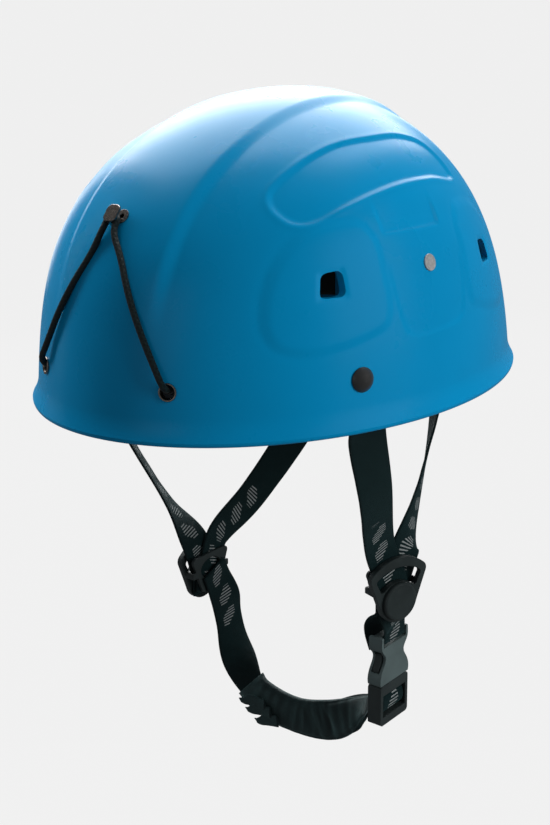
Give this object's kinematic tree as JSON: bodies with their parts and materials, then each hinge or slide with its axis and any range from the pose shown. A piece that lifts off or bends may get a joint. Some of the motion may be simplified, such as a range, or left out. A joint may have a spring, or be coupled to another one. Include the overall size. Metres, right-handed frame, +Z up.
{
  "type": "climbing helmet",
  "caption": "Domed climbing helmet with vented glossy shell, webbing cradle, knob-adjusted headband, lamp elastic and Y-strap chin harness with side-release buckle.",
  "frame": {"origin": "centre of the shell's rim plane, where the wearer's head enters", "axes": "+Z up along the head, -Y the way the wearer faces, +X the wearer's left"},
  "size_m": [0.224, 0.291, 0.3624],
  "materials": {
    "shell_blue": "glossy moulded polypropylene, fine edge wear",
    "foam_liner": "expanded foam beads, matt dark grey",
    "rivet_plastic": "satin black nylon",
    "hardware_plastic": "satin black acetal with a fine spark-eroded grain",
    "band_plastic": "flexible black polyethylene",
    "knob_plastic": "satin black, ribbed edge",
    "nickel": "nickel plated, lightly worn",
    "zinc_steel": "zinc plated",
    "elastic": "braided black elastic cord",
    "webbing": "woven black polyester with light grey dashes",
    "cradle_webbing": "woven black polyester",
    "sleeve_fabric": "brushed black nylon over foam",
    "pad_fabric": "black spacer mesh over foam"
  },
  "bodies": {
    "helmet": {"outer_shell": "shell_blue", "crown_liner": "foam_liner", "front_rivets": "rivet_plastic", "rear_rivets": "rivet_plastic", "front_rivet_washers": "zinc_steel", "rear_rivet_washers": "zinc_steel", "lamp_eyelets": "nickel", "lamp_hook": "nickel", "lamp_hook_rivet": "nickel", "lamp_elastic": "elastic", "elastic_knots": "elastic", "strap_front_left": "webbing", "strap_rear_left": "webbing", "strap_front_right": "webbing", "strap_rear_right": "webbing", "divider_left": "hardware_plastic", "divider_right": "hardware_plastic", "divider_disc_left": "hardware_plastic", "divider_disc_right": "hardware_plastic", "buckle_female": "hardware_plastic", "headband": "band_plastic", "brow_pad": "pad_fabric", "headband_side_left": "band_plastic", "headband_side_right": "band_plastic", "nape_back_cover": "band_plastic", "nape_front_cover": "band_plastic", "cover_screws": "zinc_steel", "nape_pad": "pad_fabric", "front_hangers": "band_plastic", "rear_hangers": "band_plastic", "cradle_strap_lower": "cradle_webbing", "cradle_strap_upper": "cradle_webbing"},
    "buckle_male_half": {"buckle_male": "hardware_plastic", "buckle_wrap": "webbing", "chin_strap": "webbing", "chin_sleeve": "sleeve_fabric", "chin_strap_tail": "webbing"},
    "prong_front": {"buckle_prong_front": "hardware_plastic"},
    "prong_rear": {"buckle_prong_rear": "hardware_plastic"},
    "size_knob": {"nape_knob": "knob_plastic", "nape_pinion": "knob_plastic", "knob_screw": "zinc_steel"},
    "arm_left": {"nape_arm_left": "band_plastic"},
    "arm_right": {"nape_arm_right": "band_plastic"}
  },
  "joints": [
    {"name": "buckle_open", "type": "slide", "parent": "helmet", "child": "buckle_male_half", "axis": [0, 0, -1], "range_m": [0, 0.03], "deforming": ["buckle_prong_front", "buckle_prong_rear"]},
    {"name": "prong_front_squeeze", "type": "hinge", "parent": "buckle_male_half", "child": "prong_front", "pos_m": [0.06, 0.0036, -0.1659], "axis": [-1, 0, 0], "range_deg": [0, 8], "stiffness_Nm_per_rad": 0.05},
    {"name": "prong_rear_squeeze", "type": "hinge", "parent": "buckle_male_half", "child": "prong_rear", "pos_m": [0.06, 0.0224, -0.1659], "axis": [1, 0, 0], "range_deg": [0, 8], "stiffness_Nm_per_rad": 0.05},
    {"name": "size_adjust", "type": "hinge", "parent": "helmet", "child": "size_knob", "pos_m": [0, 0.092, 0.007], "axis": [0, 1, 0], "range_deg": [-120, 120], "deforming": ["headband_side_left", "headband_side_right"]},
    {"name": "arm_left_slide", "type": "slide", "parent": "helmet", "child": "arm_left", "axis": [1, 0, 0], "range_m": [-0.0127, 0.0127]},
    {"name": "arm_right_slide", "type": "slide", "parent": "helmet", "child": "arm_right", "axis": [-1, 0, 0], "range_m": [-0.0127, 0.0127]}
  ],
  "couplings": [
    {"joint": "arm_left_slide", "follows": "size_adjust", "m_per_rad": 0.006},
    {"joint": "arm_right_slide", "follows": "size_adjust", "m_per_rad": 0.006}
  ]
}
